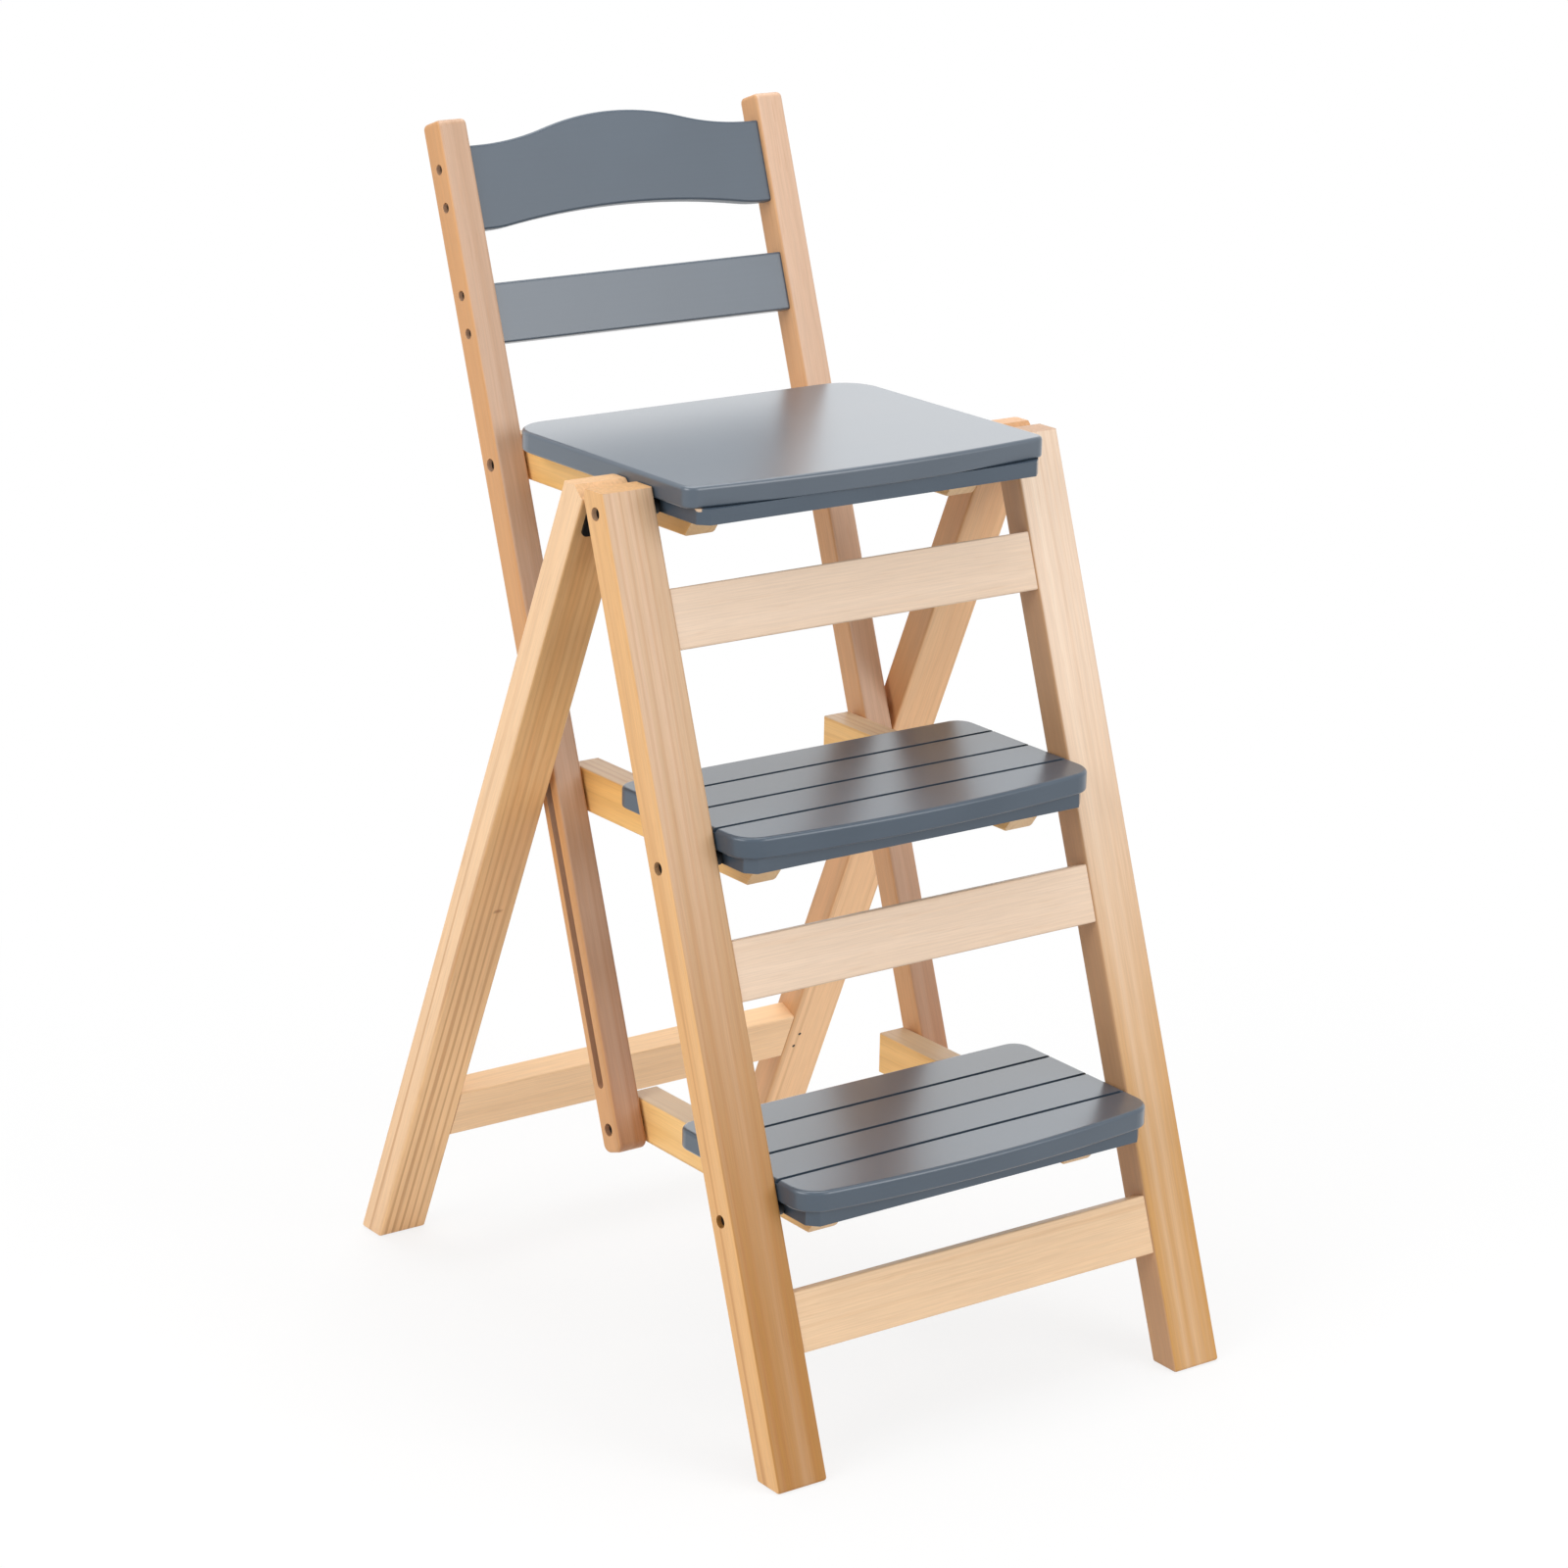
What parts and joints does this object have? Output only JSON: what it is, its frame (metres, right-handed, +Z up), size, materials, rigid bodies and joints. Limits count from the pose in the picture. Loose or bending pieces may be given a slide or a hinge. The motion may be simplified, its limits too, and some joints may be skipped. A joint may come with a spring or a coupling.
{
  "type": "folding step stool",
  "caption": "Wooden folding step stool with grooved treads, a seat and a slatted back rest that fold up flat between leaning front legs and hinged rear legs.",
  "frame": {"origin": "on the floor, midway between the feet from left to right and from front to back", "axes": "+X to the stool's right as seen from its front, +Y from the front feet to the rear feet, +Z up"},
  "size_m": [0.413, 0.5832, 0.9015],
  "materials": {
    "natural_wood": "clear satin lacquer over pale straight-grained wood",
    "painted_wood": "slate blue-grey satin paint over wood",
    "black_nylon": "matte black",
    "black_steel": "satin black"
  },
  "bodies": {
    "front_frame": {"front_leg_left": "natural_wood", "front_leg_right": "natural_wood", "front_rail_upper": "natural_wood", "front_rail_middle": "natural_wood", "front_rail_lower": "natural_wood", "front_bolts_left": "black_steel", "front_bolts_right": "black_steel", "pivot_spacers_left": "black_nylon", "pivot_spacers_right": "black_nylon", "hinge_front_leaf_left": "black_steel", "hinge_front_leaf_right": "black_steel", "hinge_pin_left": "black_steel", "hinge_pin_right": "black_steel"},
    "rear_frame": {"rear_leg_left": "natural_wood", "rear_leg_right": "natural_wood", "rear_crossbar": "natural_wood", "hinge_rear_leaf_left": "black_steel", "hinge_rear_leaf_right": "black_steel", "guide_pin_left": "black_steel", "guide_pin_right": "black_steel"},
    "seat_unit": {"seat_board": "painted_wood", "seat_cleat": "painted_wood", "seat_arm_left": "natural_wood", "seat_arm_right": "natural_wood"},
    "middle_unit": {"middle_tread": "painted_wood", "middle_cleat": "painted_wood", "middle_arm_left": "natural_wood", "middle_arm_right": "natural_wood"},
    "bottom_unit": {"bottom_tread": "painted_wood", "bottom_cleat": "painted_wood", "bottom_arm_left": "natural_wood", "bottom_arm_right": "natural_wood"},
    "back_frame": {"back_post_left": "natural_wood", "back_post_right": "natural_wood", "crest_slat": "painted_wood", "lower_slat": "painted_wood", "rear_bolts_left": "black_steel", "rear_bolts_right": "black_steel", "rear_washers_left": "black_nylon", "rear_washers_right": "black_nylon", "slat_screws_left": "black_steel", "slat_screws_right": "black_steel"}
  },
  "joints": [
    {"name": "seat_fold", "type": "hinge", "parent": "front_frame", "child": "seat_unit", "pos_m": [0, -0.04981, 0.665], "axis": [1, 0, 0], "range_deg": [0, 65]},
    {"name": "middle_fold", "type": "hinge", "parent": "front_frame", "child": "middle_unit", "pos_m": [0, -0.13279, 0.424], "axis": [1, 0, 0], "range_deg": [0, 65]},
    {"name": "bottom_fold", "type": "hinge", "parent": "front_frame", "child": "bottom_unit", "pos_m": [0, -0.21578, 0.183], "axis": [1, 0, 0], "range_deg": [0, 65]},
    {"name": "back_fold", "type": "hinge", "parent": "seat_unit", "child": "back_frame", "pos_m": [0, 0.16739, 0.652], "axis": [1, 0, 0], "range_deg": [-65, 0]},
    {"name": "rear_leg_fold", "type": "hinge", "parent": "front_frame", "child": "rear_frame", "pos_m": [0, -0.03268, 0.665], "axis": [1, 0, 0], "range_deg": [-42.54, 0]}
  ],
  "couplings": [
    {"joint": "middle_fold", "follows": "seat_fold", "ratio": 1},
    {"joint": "bottom_fold", "follows": "seat_fold", "ratio": 1},
    {"joint": "back_fold", "follows": "seat_fold", "ratio": -1},
    {"joint": "rear_leg_fold", "follows": "seat_fold", "ratio": -0.65436}
  ]
}
